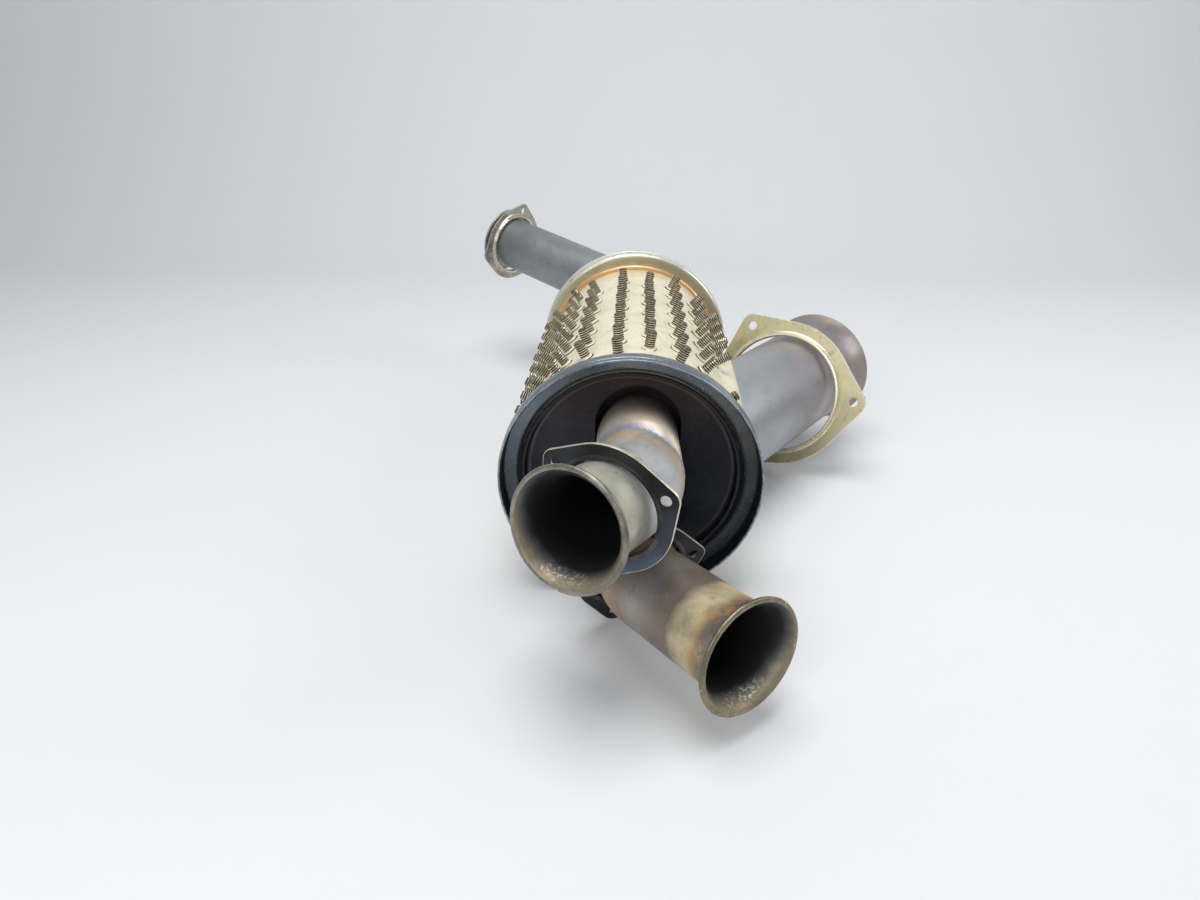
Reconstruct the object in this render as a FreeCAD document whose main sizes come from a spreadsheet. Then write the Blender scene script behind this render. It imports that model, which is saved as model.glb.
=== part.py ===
# Exhaust muffler of a light aircraft: a studded can with two flared inlet pipes at the front,
# one at the rear and a large outlet pipe on the right side.
# Millimetres, +Z up. The can lies along +Y; the origin is on its axis in the plane of the front lip.
import FreeCAD, Part
import math
import os
import re
import Sketcher

Vector = FreeCAD.Vector
doc = FreeCAD.newDocument("muffler")

# Driving dimensions
dimensions = {
    # can
    "canLength": 259.0,
    "shellRadius": 64.5,
    "sheet": 1.2,
    "collarRadius": 76.2,
    "collarDepth": 12.0,
    "collarBend": 2.4,
    "collarHub": 5.0,
    "endRecess": 5.5,
    "endBend": 2.6,
    "ridge": 0.9,
    # pocket in the front end plate, round the upper pipe
    "pocketRadius": 24.6,
    "pocketRise": 10.7,
    "pocketDepth": 15.0,
    # small inlet pipes
    "tubeRadius": 23.8,
    "tubeWall": 1.2,
    "tubeInset": 7.0,
    "elbowRadius": 36.0,
    "flareRadius": 30.8,
    "flareLength": 19.0,
    "seamSkew": 26.0,
    # outlet
    "outletRadius": 38.1,
    "outletReach": 225.0,
    "bellRadius": 44.5,
    "bellLength": 22.0,
    "neckWall": 1.6,
    "neckHeight": 9.0,
    # loose three-hole flanges: small, and large for the outlet
    "flangePlate": 1.6,
    "discRadius": 35.1,
    "earReach": 33.4,
    "earRadius": 6.85,
    "boreRadius": 26.4,
    "hubWidth": 2.8,
    "hubHeight": 2.6,
    "holeRadius": 2.8,
    "bigPlate": 2.2,
    "bigDisc": 55.8,
    "bigEarReach": 57.7,
    "bigEarRadius": 9.2,
    "bigBore": 44.0,
    "bigHubWidth": 2.8,
    "bigHubHeight": 3.0,
    "bigHole": 3.4,
    # studs
    "studRadius": 3.175,
    "studHeight": 11.3,
    "studPitch": 23.0,
    "studStart": 41.3,
    "studDrift": 0.09,
    # inside
    "innerRadius": 30.0,
    "innerStart": 43.0,
    "innerLength": 162.0,
    "innerHole": 4.0,
    "baffleInset": 4.0,
    "baffleEdge": 7.0,
    "baffleVent": 9.0,
    "ventReach": 46.5,
    # what a half circle's radius has over half its chord, so that its centre can be solved
    "arcSlack": 0.0001,
}

dims = doc.addObject("Spreadsheet::Sheet", "dims")
for row, (alias, value) in enumerate(dimensions.items(), start=1):
    dims.set(f"A{row}", alias)
    dims.set(f"B{row}", str(value))
    dims.setAlias(f"B{row}", alias)
doc.recompute()

nodes = {}


def size(expression):
    """The number that an expression over the sheet's cells gives."""
    return float(dims.evalExpression(expression))


def cells(expression):
    """The same expression as another object of the document writes it."""
    def cell(word):
        return "dims." + word[0] if word[0] in dimensions else word[0]

    return re.sub(r"[A-Za-z]\w+", cell, expression)


def newBody(label, placement=None):
    body = doc.addObject("PartDesign::Body", label)
    body.Label = label
    body.AllowCompound = True
    if placement:
        body.Placement = placement
    return body


def newSketch(body, role, height="0"):
    """A sketch on one of the body's own planes, lifted along that plane's normal."""
    plane = next(part for part in body.Origin.OriginFeatures if part.Role == role)
    sketch = body.newObject("Sketcher::SketchObject", body.Label + "Sketch")
    sketch.AttachmentSupport = [(plane, "")]
    sketch.MapMode = "FlatFace"
    if height != "0":
        sketch.AttachmentOffset.Base.z = size(height)
        sketch.setExpression("AttachmentOffset.Base.z", cells(height))
    return sketch


def bind(sketch, kind, first, *rest):
    """A dimension of the sketch that follows an expression over the sheet."""
    *where, expression = rest
    index = sketch.addConstraint(Sketcher.Constraint(kind, first, *where, size(expression)))
    sketch.setExpression(f"Constraints[{index}]", cells(expression))


def pin(sketch, geometry, point, x, y):
    bind(sketch, "DistanceX", -1, 1, geometry, point, x)
    bind(sketch, "DistanceY", -1, 1, geometry, point, y)


def circle(sketch, radius, x="0", y="0"):
    centre = Vector(size(x), size(y), 0)
    index = sketch.addGeometry(Part.Circle(centre, Vector(0, 0, 1), size(radius)), False)
    bind(sketch, "Radius", index, radius)
    pin(sketch, index, 3, x, y)


def outline(sketch, corners, arcs=None, closed=True):
    """Lines between corners given as expressions. arcs maps a side's number to its radius
    and to the side, left or right of the way along it, on which its centre lies."""
    arcs = arcs or {}
    spots = [Vector(size(x), size(y), 0) for x, y in corners]
    count = len(corners) if closed else len(corners) - 1
    sides = []
    for number in range(count):
        start, end = spots[number], spots[(number + 1) % len(spots)]
        if number not in arcs:
            index = sketch.addGeometry(Part.LineSegment(start, end), False)
            sides.append((index, 1, 2))
            continue
        radius, hand = arcs[number]
        chord = end - start
        left = Vector(-chord.y, chord.x, 0).normalize()
        lift = math.sqrt(size(radius) ** 2 - (chord.Length / 2) ** 2)
        centre = (start + end) * 0.5 + left * (lift if hand == "left" else -lift)
        turn = [math.atan2(spot.y - centre.y, spot.x - centre.x) for spot in (start, end)]
        if hand == "right":
            turn.reverse()
        arc = Part.ArcOfCircle(Part.Circle(centre, Vector(0, 0, 1), size(radius)), *turn)
        index = sketch.addGeometry(arc, False)
        bind(sketch, "Radius", index, radius)
        sides.append((index, 1, 2) if hand == "left" else (index, 2, 1))
    for number, (index, start, end) in enumerate(sides):
        pin(sketch, index, start, *corners[number])
        if closed or number + 1 < len(sides):
            following = sides[(number + 1) % len(sides)]
            sketch.addConstraint(Sketcher.Constraint("Coincident", index, end, following[0], following[1]))
        else:
            pin(sketch, index, end, *corners[-1])


def revolve(body, sketch):
    turned = body.newObject("PartDesign::Revolution", body.Label + "Turned")
    turned.Profile = (sketch, [""])
    turned.ReferenceAxis = (sketch, ["V_Axis"])
    turned.Angle = 360
    return turned


def pad(body, sketch, length):
    grown = body.newObject("PartDesign::Pad", body.Label + "Pad")
    grown.Profile = (sketch, [""])
    grown.Length = size(length)
    grown.setExpression("Length", cells(length))
    return grown


def pocket(body, sketch, length, upwards=False):
    """Cuts against the sketch's normal, or along it when upwards."""
    cut = body.newObject("PartDesign::Pocket", body.Label + "Pocket")
    cut.Profile = (sketch, [""])
    cut.Length = size(length)
    cut.setExpression("Length", cells(length))
    cut.Reversed = upwards
    return cut


def ringEdges(feature, radius, height):
    """The names of the round edges of that radius at that height on the body's Z axis."""
    doc.recompute()
    names = []
    for number, edge in enumerate(feature.Shape.Edges, start=1):
        curve = edge.Curve
        if not isinstance(curve, Part.Circle):
            continue
        if abs(curve.Radius - size(radius)) < 0.01 and abs(curve.Center.z - size(height)) < 0.01:
            names.append(f"Edge{number}")
    assert names, f"no edge of radius {radius} at {height}"
    return names


def fillet(body, base, radius, *rings):
    edges = [name for ring in rings for name in ringEdges(base, *ring)]
    rounded = body.newObject("PartDesign::Fillet", body.Label + "Round")
    rounded.Base = (base, edges)
    rounded.Radius = size(radius)
    rounded.setExpression("Radius", cells(radius))
    return rounded


def polar(body, feature, count):
    axis = next(part for part in body.Origin.OriginFeatures if part.Role == "Z_Axis")
    pattern = body.newObject("PartDesign::PolarPattern", body.Label + "Polar")
    pattern.Originals = [feature]
    pattern.Axis = (axis, [""])
    pattern.Angle = 360
    pattern.Occurrences = count
    body.Tip = pattern
    return pattern


def cylinder(label, radius, length, placement):
    rod = doc.addObject("Part::Cylinder", label)
    rod.setExpression("Radius", cells(radius))
    rod.setExpression("Height", cells(length))
    rod.Placement = placement
    return rod


def cutAway(label, base, tool):
    result = doc.addObject("Part::Cut", label)
    result.Base = base
    result.Tool = tool
    result.Label = label
    return result


def facing(direction, origin, sideways=Vector(1, 0, 0)):
    """A placement whose Z axis is the direction and whose X axis is as near sideways as it can be."""
    turn = FreeCAD.Rotation(sideways, Vector(), direction, "ZXY")
    return FreeCAD.Placement(origin, turn)


# Can: local Z runs from the lip inwards, so one profile serves both ends
frontEnd = facing(Vector(0, 1, 0), Vector(0, 0, 0))
rearEnd = facing(Vector(0, -1, 0), Vector(0, size("canLength"), 0))
shellEdge = "(collarDepth + sheet / 2)"
plateFace = "(collarDepth + endRecess)"


def collar(label, placement):
    """Pressed ring: rim, flat web and a hub turned along the shell."""
    body = newBody(label, placement)
    sketch = newSketch(body, "XZ_Plane")
    outline(sketch, [
        ("collarRadius - sheet", "0"),
        ("collarRadius", "0"),
        ("collarRadius", "collarDepth + sheet"),
        ("shellRadius + sheet", "collarDepth + sheet"),
        ("shellRadius + sheet", "collarDepth + sheet + collarHub"),
        ("shellRadius", "collarDepth + sheet + collarHub"),
        ("shellRadius", "collarDepth"),
        ("collarRadius - sheet", "collarDepth"),
    ])
    ring = revolve(body, sketch)
    ring = fillet(body, ring, "collarBend + sheet",
                  ("collarRadius", "collarDepth + sheet"), ("shellRadius", "collarDepth"))
    fillet(body, ring, "collarBend",
           ("collarRadius - sheet", "collarDepth"), ("shellRadius + sheet", "collarDepth + sheet"))
    nodes[label] = body


def endPlate(label, placement):
    """Dished disc whose edge stands up inside the shell and is welded over the shell's end."""
    body = newBody(label + "_blank", placement)
    sketch = newSketch(body, "XZ_Plane")
    inside = "shellRadius - 2 * sheet"
    outline(sketch, [
        (inside, shellEdge + " - ridge"),
        ("shellRadius", shellEdge + " - ridge"),
        ("shellRadius", shellEdge),
        ("shellRadius - sheet", shellEdge),
        ("shellRadius - sheet", plateFace + " + sheet"),
        ("0", plateFace + " + sheet"),
        ("0", plateFace),
        (inside, plateFace),
    ])
    plate = revolve(body, sketch)
    plate = fillet(body, plate, "endBend + sheet", ("shellRadius - sheet", plateFace + " + sheet"))
    plate = fillet(body, plate, "endBend", (inside, plateFace))
    fillet(body, plate, "ridge * 0.6", ("shellRadius", shellEdge + " - ridge"))
    return body


def slot(sketch, radius, x, low, rise):
    """Upright slot: two half circles of the radius, one above the other."""
    arc = (f"{radius} + arcSlack", "left")
    outline(sketch, [
        (f"{x} - ({radius})", low),
        (f"{x} - ({radius})", f"{low} - {rise}"),
        (f"{x} + {radius}", f"{low} - {rise}"),
        (f"{x} + {radius}", low),
    ], {1: arc, 3: arc})


# Pipes: where each leaves its end plate, the corner of its bend and the middle of its mouth
class Pipe:
    def __init__(self, name, root, corner, mouth):
        self.name = name
        self.root = Vector(*root)
        self.out = (Vector(*corner) - self.root).normalize()
        self.leg = (Vector(*mouth) - Vector(*corner)).normalize()
        self.mouth = Vector(*mouth)
        self.bend = self.out.getAngle(self.leg)
        tangent = size("elbowRadius") * math.tan(self.bend / 2)
        self.stubLength = (Vector(*corner) - self.root).Length - tangent
        self.legLength = (self.mouth - Vector(*corner)).Length - tangent

    def along(self, distance):
        return self.root + self.out * distance

    def behindMouth(self, distance):
        return self.mouth - self.leg * distance


upper = Pipe("upper_inlet", (3.9, 17.5, 19.4), (5.0, -41.0, 22.8), (-27.1, -102.3, 33.3))
lower = Pipe("lower_inlet", (-10.0, 17.5, -33.2), (8.5, -41.0, -36.7), (58.5, -108.3, -29.4))
rear = Pipe("rear_inlet", (2.0, 241.5, 20.0), (0.0, 318.0, 21.6), (-132.8, 413.1, 51.5))
seamAt = {"upper_inlet": 36.0, "lower_inlet": 40.0, "rear_inlet": 50.0}
for pipe in (upper, lower, rear):
    row += 1
    for offset, (alias, value) in enumerate({
        pipe.name.split("_")[0] + "Seam": seamAt[pipe.name],
        pipe.name.split("_")[0] + "Stub": pipe.stubLength,
        pipe.name.split("_")[0] + "Leg": pipe.legLength,
        pipe.name.split("_")[0] + "Bend": math.degrees(pipe.bend),
    }.items()):
        dims.set(f"A{row + offset}", alias)
        dims.set(f"B{row + offset}", f"{value:.4f}")
        dims.setAlias(f"B{row + offset}", alias)
        dimensions[alias] = value
    row += offset
doc.recompute()


def tubeHole(pipe):
    """The round way through an end plate, as wide as the pipe and along it."""
    start = pipe.along(-3 * size("pocketDepth"))
    return cylinder(pipe.name + "Hole", "tubeRadius", "6 * pocketDepth", facing(pipe.out, start))


def stub(pipe, inset):
    """Straight tube from inside the end plate to the weld."""
    seam = pipe.name.split("_")[0] + "Seam"
    reach = seam + " + pocketRadius" if pipe is upper else seam
    body = newBody(pipe.name + ("_blank" if pipe is upper else "_stub"), facing(pipe.out, pipe.along(-inset)))
    sketch = newSketch(body, "XY_Plane")
    circle(sketch, "tubeRadius")
    circle(sketch, "tubeRadius - tubeWall")
    pad(body, sketch, f"{inset} + {reach}")
    return body


def flareProfile(sketch, radius, wall, mouth, length, reach):
    """Thin wall: straight, then an arc that is tangent to the tube and opens to the mouth."""
    bow = f"((({length})^2 + ({mouth} - {radius})^2) / (2 * ({mouth} - {radius})))"
    edge = f"({radius} + {bow} - sqrt(({bow} + {wall})^2 - ({length})^2))"
    outline(sketch, [
        (radius, f"-({reach})"),
        (radius, f"-({length})"),
        (mouth, "0"),
        (edge, "0"),
        (f"{radius} - {wall}", f"-({length})"),
        (f"{radius} - {wall}", f"-({reach})"),
    ], {1: (bow, "right"), 3: (f"{bow} + {wall}", "left")})


def elbow(pipe):
    """Bent tube with the flared mouth: local Z runs out of the mouth, the bend lies in XZ."""
    word = pipe.name.split("_")[0]
    leg, bend, stubLength, seam = (word + end for end in ("Leg", "Bend", "Stub", "Seam"))
    sideways = pipe.out - pipe.leg * math.cos(pipe.bend)
    body = newBody(pipe.name + ("_bend_blank" if pipe is upper else "_elbow"),
                   facing(pipe.leg, pipe.mouth, sideways.normalize()))
    flare = newSketch(body, "XZ_Plane")
    flareProfile(flare, "tubeRadius", "tubeWall", "flareRadius", "flareLength", leg)
    revolve(body, flare)
    back = f"({stubLength} - {seam} + pocketRadius)" if pipe is upper else f"({stubLength} - {seam})"
    path = newSketch(body, "XZ_Plane")
    turned = (f"-elbowRadius * (1 - cos({bend}))", f"-{leg} - elbowRadius * sin({bend})")
    outline(path, [
        ("0", "-" + leg),
        turned,
        (f"{turned[0]} - {back} * sin({bend})", f"{turned[1]} - {back} * cos({bend})"),
    ], {0: ("elbowRadius", "right")}, closed=False)
    section = newSketch(body, "XY_Plane", "-" + leg)
    circle(section, "tubeRadius")
    circle(section, "tubeRadius - tubeWall")
    sweep = body.newObject("PartDesign::AdditivePipe", body.Label + "Sweep")
    sweep.Profile = (section, [""])
    sweep.Spine = (path, ["Edge1", "Edge2"])
    return body


def flange(label, placement, big=False):
    """Loose flange: local Z points at the flare. Disc with a rolled hub on the other side
    and three ears, each with a bolt hole."""
    plate, disc, reach, ear, bore, hubWidth, hubHeight, hole = (
        ("bigPlate", "bigDisc", "bigEarReach", "bigEarRadius", "bigBore", "bigHubWidth", "bigHubHeight",
         "bigHole") if big else
        ("flangePlate", "discRadius", "earReach", "earRadius", "boreRadius", "hubWidth", "hubHeight",
         "holeRadius"))
    body = newBody(label, placement)
    ring = newSketch(body, "XZ_Plane")
    outline(ring, [
        (f"{bore} + {plate} * 0.4", f"{plate} / 2"),
        (disc, f"{plate} / 2"),
        (disc, f"-{plate} / 2"),
        (f"{bore} + {hubWidth}", f"-{plate} / 2"),
        (f"{bore} + {hubWidth}", f"-{plate} / 2 - {hubHeight}"),
        (bore, f"-{plate} / 2 - {hubHeight}"),
        (bore, f"{plate} * 0.1"),
    ])
    turned = revolve(body, ring)
    top = f"-{plate} / 2 - {hubHeight}"
    turned = fillet(body, turned, f"{hubHeight} * 0.6", (f"{bore} + {hubWidth}", top))
    turned = fillet(body, turned, f"{hubHeight} * 0.35", (bore, top))
    lean = f"(({disc} - {ear}) / {reach})"
    rise = f"sqrt(1 - {lean}^2)"
    ears = newSketch(body, "XY_Plane", f"-{plate} / 2")
    outline(ears, [
        (f"{disc} * {lean}", f"-{disc} * {rise}"),
        (f"{reach} + {ear} * {lean}", f"-{ear} * {rise}"),
        (f"{reach} + {ear} * {lean}", f"{ear} * {rise}"),
        (f"{disc} * {lean}", f"{disc} * {rise}"),
    ], {1: (ear, "left")})
    polar(body, pad(body, ears, plate), 3)
    holes = newSketch(body, "XY_Plane", plate)
    circle(holes, hole, reach)
    polar(body, pocket(body, holes, f"2 * {plate}"), 3)
    nodes[label] = body


def studRow(label, angle, heights):
    """Studs in line along the can; local Z points out of the shell."""
    turn = FreeCAD.Rotation(Vector(0, 1, 0), angle)
    body = newBody(label, FreeCAD.Placement(Vector(), turn))
    sketch = newSketch(body, "XY_Plane", "shellRadius")
    for height in heights:
        circle(sketch, "studRadius", "0", height)
    pad(body, sketch, "studHeight")
    nodes[label] = body


# Collars, end plates and shell
collar("front_collar", frontEnd)
collar("rear_collar", rearEnd)

frontPlate = endPlate("front_end_plate", frontEnd)
pocketLow = f"({-upper.root.z})"
pocketX = f"({upper.root.x})"
boss = newSketch(frontPlate, "XY_Plane", plateFace)
slot(boss, "pocketRadius + sheet", pocketX, pocketLow, "pocketRise")
pad(frontPlate, boss, "pocketDepth + sheet")
well = newSketch(frontPlate, "XY_Plane", plateFace)
slot(well, "pocketRadius", pocketX, pocketLow, "pocketRise")
pocket(frontPlate, well, "pocketDepth", upwards=True)
frontPlate = cutAway("front_end_plate_lower", frontPlate, tubeHole(lower))
nodes["front_end_plate"] = cutAway("front_end_plate", frontPlate, tubeHole(upper))
nodes["rear_end_plate"] = cutAway("rear_end_plate", endPlate("rear_end_plate", rearEnd), tubeHole(rear))

# Outlet: a straight pipe that leaves the right side of the shell towards the rear
outletWay = Vector(0.589, 0.808, 0).normalize()
outletMouth = Vector(154.0, 243.1, -16.2)
outletFrame = facing(outletWay, outletMouth)
outletInner = facing(outletWay, outletMouth - outletWay * size("outletReach"))
outletHole = cylinder("outletHole", "outletRadius", "outletReach", outletInner)

shellTube = newBody("can_shell_blank", frontEnd)
shellSection = newSketch(shellTube, "XY_Plane", shellEdge)
circle(shellSection, "shellRadius")
circle(shellSection, "shellRadius - sheet")
pad(shellTube, shellSection, f"canLength - 2 * {shellEdge}")
nodes["can_shell"] = cutAway("can_shell", shellTube, outletHole)

outletTube = newBody("outlet_pipe_blank", outletFrame)
outletWall = newSketch(outletTube, "XZ_Plane")
flareProfile(outletWall, "outletRadius", "sheet", "bellRadius", "bellLength", "outletReach")
revolve(outletTube, outletWall)
canCore = cylinder("canCore", "shellRadius - sheet", "canLength", frontEnd)
nodes["outlet_pipe"] = cutAway("outlet_pipe", outletTube, canCore)

neckSleeve = cylinder("neckSleeve", "outletRadius + neckWall", "outletReach", outletInner)
neckReach = cylinder("neckReach", "shellRadius + neckHeight", "canLength", frontEnd)
neckBlock = doc.addObject("Part::Common", "neckBlock")
neckBlock.Base = neckSleeve
neckBlock.Tool = neckReach
canBlock = cylinder("canBlock", "shellRadius", "canLength", frontEnd)
neckBore = cylinder("neckBore", "outletRadius", "outletReach", outletInner)
nodes["outlet_neck"] = cutAway("outlet_neck", cutAway("neckOuter", neckBlock, canBlock), neckBore)

# Inlet pipes. The upper pipe's weld runs askew, so its two tubes are parted by a slanted plane.
upperStub, upperElbow = stub(upper, 3.0 + size("pocketDepth") + 3.0), elbow(upper)
skew = math.radians(size("seamSkew"))
seamNormal = Vector(-math.sin(skew), -math.cos(skew), 0)
seamCentre = upper.along(size("upperSeam"))
block = 4 * size("pocketRadius")
for label, body, way in (("upper_inlet_stub", upperStub, 1), ("upper_inlet_elbow", upperElbow, -1)):
    wedge = doc.addObject("Part::Box", label + "Wedge")
    for side in ("Length", "Width", "Height"):
        wedge.setExpression(side, "4 * dims.pocketRadius")
    frame = facing(seamNormal * way, seamCentre)
    wedge.Placement = frame.multiply(FreeCAD.Placement(Vector(-block / 2, -block / 2, 0), FreeCAD.Rotation()))
    nodes[label] = cutAway(label, body, wedge)
for pipe in (lower, rear):
    nodes[pipe.name + "_stub"] = stub(pipe, size("tubeInset"))
    nodes[pipe.name + "_elbow"] = elbow(pipe)


def hung(way, centre, ear):
    """Where a loose flange lies: the way its flare side faces, its middle and where one ear points."""
    return facing(Vector(*way).normalize(), centre, Vector(*ear))


# The flanges hang on their pipes, each leaning as far as its bore allows
flange("upper_inlet_flange",
       hung((-0.406, -0.911, -0.03), upper.behindMouth(36) + Vector(0, 0, -1.6), (-0.75, 0.29, 0.60)))
flange("lower_inlet_flange",
       hung((0.285, -0.935, -0.208), lower.along(50) + Vector(-0.5, 0, -0.6), (-0.62, -0.18, 0.757)))
flange("rear_inlet_flange",
       hung((-0.80, 0.59, 0.12), rear.behindMouth(11) + Vector(0, 0, -0.8), (0.34, 0.55, -0.77)))
flange("outlet_flange",
       hung((0.473, 0.819, -0.326), Vector(115.0, 187.0, -17.75), (0.866, -0.49, 0.08)), big=True)

# Inside: perforated tube and the two baffles that carry it
innerTube = newBody("perforated_tube", facing(Vector(0, 1, 0), Vector(0, size("innerStart"), 0)))
innerSection = newSketch(innerTube, "XY_Plane")
circle(innerSection, "innerRadius")
circle(innerSection, "innerRadius - sheet")
pad(innerTube, innerSection, "innerLength")
for ring in range(1, 6):
    holes = newSketch(innerTube, "XZ_Plane")
    circle(holes, "innerHole", "0", f"innerLength * {ring} / 6")
    polar(innerTube, pocket(innerTube, holes, "2 * innerRadius"), 8)
nodes["perforated_tube"] = innerTube


def baffle(label, placement):
    body = newBody(label, placement)
    sketch = newSketch(body, "XZ_Plane")
    outline(sketch, [
        ("innerRadius", "0"),
        ("shellRadius - 2 * sheet", "0"),
        ("shellRadius - 2 * sheet", "baffleEdge"),
        ("shellRadius - sheet", "baffleEdge"),
        ("shellRadius - sheet", "-sheet"),
        ("innerRadius", "-sheet"),
    ])
    turned = revolve(body, sketch)
    turned = fillet(body, turned, "endBend + sheet", ("shellRadius - sheet", "-sheet"))
    fillet(body, turned, "endBend", ("shellRadius - 2 * sheet", "0"))
    vents = newSketch(body, "XY_Plane", "sheet")
    circle(vents, "baffleVent", "ventReach")
    polar(body, pocket(body, vents, "3 * sheet"), 8)
    nodes[label] = body


baffle("front_baffle", facing(Vector(0, 1, 0), Vector(0, size("innerStart + baffleInset"), 0)))
baffle("rear_baffle", facing(Vector(0, -1, 0), Vector(0, size("innerStart + innerLength - baffleInset"), 0)))

# Heat studs in staggered rows of eight and seven. The rows seen from above stand at measured
# angles from the top of the can; the rest share the way round underneath evenly.
seenRows = [-66.1, -53.5, -39.0, -25.3, -7.4, 8.5, 24.8, 41.5, 59.5]
hiddenCount = 15
gap = (360 + seenRows[0] - seenRows[-1]) / (hiddenCount + 1)
rowAngles = seenRows + [seenRows[-1] + gap * (step + 1) for step in range(hiddenCount)]
bareAngles = (55, 150)
bareFront = 105
neckClear = 46


def clearOfOutlet(angle, height):
    """True where a stud stands clear of the neck and of the plain patch in front of it."""
    if not bareAngles[0] < angle < bareAngles[1]:
        return True
    turn = math.radians(angle)
    outwards = Vector(math.sin(turn), 0, math.cos(turn))
    ends = [outwards * size(reach) + Vector(0, height, 0)
            for reach in ("shellRadius", "shellRadius + studHeight")]
    return height > bareFront and all(end.distanceToLine(outletMouth, outletWay) > neckClear for end in ends)


rowsMade = 0
for number, angle in enumerate(rowAngles):
    count, shift = (7, 0.5) if number % 2 else (8, 0)
    signed = angle if angle < 180 else angle - 360
    heights = [f"studStart + studDrift * {signed:.1f} + studPitch * {step + shift}" for step in range(count)]
    heights = [height for height in heights if clearOfOutlet(angle, size(height))]
    if heights:
        rowsMade += 1
        studRow(f"stud_row_{rowsMade:02d}", angle, heights)
studRow("lone_stud", 53.4, ["studStart - studHeight"])

doc.recompute()
for item in doc.Objects:
    if "Invalid" in item.State or "Error" in item.State:
        raise RuntimeError(f"{item.Label}: {item.State}")
os.makedirs("parts", exist_ok=True)
for name, item in nodes.items():
    shape = item.Shape
    if shape.isNull() or not shape.isValid():
        raise RuntimeError(f"{name} has no valid shape")
    item.Label = name
    shape.exportStep(f"parts/{name}.step")
    box = shape.BoundBox
    print(f"{name:22s} solids {len(shape.Solids):2d} volume {shape.Volume:10.1f}"
          f" x {box.XMin:7.1f} {box.XMax:7.1f} y {box.YMin:7.1f} {box.YMax:7.1f} z {box.ZMin:7.1f} {box.ZMax:7.1f}")
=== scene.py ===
import math
import random

import bmesh
import bpy
from mathutils import Matrix, Vector, geometry, noise


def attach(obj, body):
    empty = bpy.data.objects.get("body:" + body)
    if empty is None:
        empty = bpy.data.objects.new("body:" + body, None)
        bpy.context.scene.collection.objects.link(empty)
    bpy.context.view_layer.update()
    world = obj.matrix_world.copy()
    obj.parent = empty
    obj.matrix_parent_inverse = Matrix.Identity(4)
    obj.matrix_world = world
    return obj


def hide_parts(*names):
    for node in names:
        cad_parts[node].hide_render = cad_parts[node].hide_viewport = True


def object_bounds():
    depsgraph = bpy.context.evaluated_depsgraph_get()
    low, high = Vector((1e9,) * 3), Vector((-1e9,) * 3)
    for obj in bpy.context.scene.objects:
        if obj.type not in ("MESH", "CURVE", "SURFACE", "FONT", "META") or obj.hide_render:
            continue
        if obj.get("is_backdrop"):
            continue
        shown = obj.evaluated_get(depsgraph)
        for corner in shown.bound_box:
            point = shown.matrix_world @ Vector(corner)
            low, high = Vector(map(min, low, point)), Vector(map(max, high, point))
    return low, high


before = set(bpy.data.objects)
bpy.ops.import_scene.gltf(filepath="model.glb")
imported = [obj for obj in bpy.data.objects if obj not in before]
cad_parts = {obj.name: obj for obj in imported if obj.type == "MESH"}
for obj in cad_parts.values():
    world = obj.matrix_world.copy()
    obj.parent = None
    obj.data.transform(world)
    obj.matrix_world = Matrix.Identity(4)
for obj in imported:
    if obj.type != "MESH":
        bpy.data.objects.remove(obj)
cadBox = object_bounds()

# Exhaust muffler. Shapes are built in millimetres and scaled to metres when they are finished.
toMetres = Matrix.Scale(0.001, 4)
scene = bpy.context.scene


def axesAt(place, way, sideways=(1, 0, 0)):
    z = Vector(way).normalized()
    x = (Vector(sideways) - z * z.dot(Vector(sideways))).normalized()
    y = z.cross(x)
    return Matrix.Translation(Vector(place)) @ Matrix((x, y, z)).transposed().to_4x4()


# Camera, floor and light, in metres
view = {"place": (0.00196, -0.39386, 0.22067), "pitch": 26.70, "yaw": 2.767, "lens": 23.67}
camera = bpy.data.objects.new("camera", bpy.data.cameras.new("camera"))
camera.location = view["place"]
camera.rotation_euler = (math.radians(90 - view["pitch"]), 0, math.radians(view["yaw"]))
camera.data.lens = view["lens"]
camera.data.clip_start = 0.02
scene.collection.objects.link(camera)
scene.camera = camera
scene.view_settings.view_transform = "Standard"

studio = {
    "floor": -0.0762, "front": -2.5, "side": 4, "bendAt": 0.80, "bendRadius": 0.35, "wallTop": 1.6,
    "paper": (0.78, 0.79, 0.80), "sky": (0.80, 0.84, 0.90), "skyStrength": 0.38,
}
lamps = {  # name: place, size, watts, aim
    "overhead": ((-0.10, -0.05, 1.25), 0.8, 11.5, (0.0, 0.1, 0.0)),
    "front": ((-0.55, -1.05, 0.65), 0.7, 5.0, (0.0, 0.0, -0.02)),
    "right": ((1.1, 0.1, 0.7), 0.6, 4.0, (0.05, 0.1, 0.0)),
}
for name, (place, size, watts, aim) in lamps.items():
    lamp = bpy.data.objects.new(name, bpy.data.lights.new(name, "AREA"))
    lamp.data.size, lamp.data.energy = size, watts
    lamp.location = place
    lamp.rotation_euler = (Vector(aim) - Vector(place)).to_track_quat("-Z", "Y").to_euler()
    scene.collection.objects.link(lamp)


# Shader building
def add(tree, kind, inputs=None, **settings):
    made = tree.nodes.new(kind)
    for key, value in settings.items():
        setattr(made, key, value)
    for key, value in (inputs or {}).items():
        if isinstance(value, bpy.types.NodeSocket):
            tree.links.new(value, made.inputs[key])
        else:
            made.inputs[key].default_value = value
    return made


def colour(value):
    return (*value, 1.0)


def math2(tree, operation, first, second):
    return add(tree, "ShaderNodeMath", {0: first, 1: second}, operation=operation).outputs[0]


def times(tree, first, second):
    return math2(tree, "MULTIPLY", first, second)


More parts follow.
